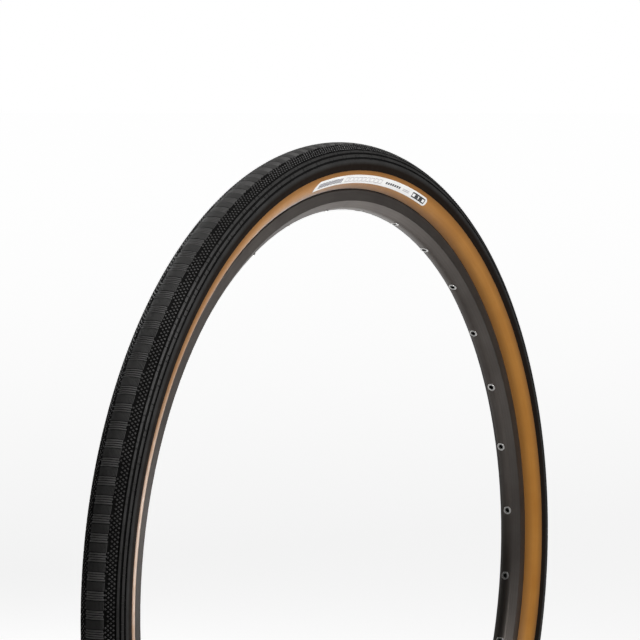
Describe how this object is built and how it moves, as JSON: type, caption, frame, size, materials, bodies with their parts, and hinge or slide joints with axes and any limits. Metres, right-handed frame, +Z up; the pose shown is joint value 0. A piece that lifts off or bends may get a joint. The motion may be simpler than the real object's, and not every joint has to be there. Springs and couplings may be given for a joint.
{
  "type": "mounted bicycle tyre",
  "caption": "Gravel clincher tyre with tan sidewalls and a ribbed, knurled tread, mounted with its tube on an eyeleted box rim.",
  "frame": {"origin": "the wheel's centre, on the axle line midway across the tyre", "axes": "+Y along the axle line, towards the left side; +Z up; +X the rolling direction"},
  "size_m": [0.711, 0.0398, 0.711],
  "materials": {
    "tread_rubber": "moulded black tread rubber",
    "belt_fabric": "woven puncture belt",
    "tan_sidewall": "tan rubber-coated casing cord",
    "bead_cord": "aramid cord",
    "chafer_rubber": "black rubberised strip",
    "label_print": null,
    "tube_rubber": "butyl rubber",
    "plated_brass": "nickel-plated brass",
    "cap_plastic": "moulded black plastic",
    "rim_anodised": "dark grey hard-anodised, satin",
    "rim_bare": "bare aluminium",
    "tape_cloth": "woven cotton tape",
    "eyelet_plated": "nickel-plated steel"
  },
  "bodies": {
    "wheel": {"tread_cap": "tread_rubber", "puncture_belt": "belt_fabric", "casing": "tan_sidewall", "bead_core_left": "bead_cord", "bead_core_right": "bead_cord", "chafer_left": "chafer_rubber", "chafer_right": "chafer_rubber", "sidewall_label_left": "label_print", "sidewall_label_right": "label_print", "inner_tube": "tube_rubber", "tube_valve_patch": "tube_rubber", "valve_stem": "plated_brass", "valve_core": "plated_brass", "core_gasket": "tube_rubber", "rim": "rim_anodised", "rim_joint_sleeve": "rim_bare", "rim_tape": "tape_cloth", "eyelets": "eyelet_plated"},
    "cap": {"dust_cap": "cap_plastic"},
    "rim_nut": {"stem_nut": "plated_brass"},
    "pin": {"core_pin": "plated_brass", "pin_seal": "tube_rubber"},
    "pin_nut": {"tip_nut": "plated_brass"}
  },
  "joints": [
    {"name": "cap_off", "type": "slide", "parent": "wheel", "child": "cap", "axis": [0.0226, 0, 0.9997], "range_m": [0, 0.03]},
    {"name": "rim_nut_travel", "type": "slide", "parent": "wheel", "child": "rim_nut", "axis": [0.0226, 0, 0.9997], "range_m": [0, 0.022]},
    {"name": "pin_press", "type": "slide", "parent": "wheel", "child": "pin", "axis": [-0.0226, 0, -0.9997], "range_m": [0, 0.002], "stiffness_N_per_m": 300, "springref_m": -0.002},
    {"name": "tip_nut_turn", "type": "hinge", "parent": "pin", "child": "pin_nut", "pos_m": [-0.00573, 0, -0.25354], "axis": [0.0226, 0, 0.9997], "continuous": true}
  ]
}
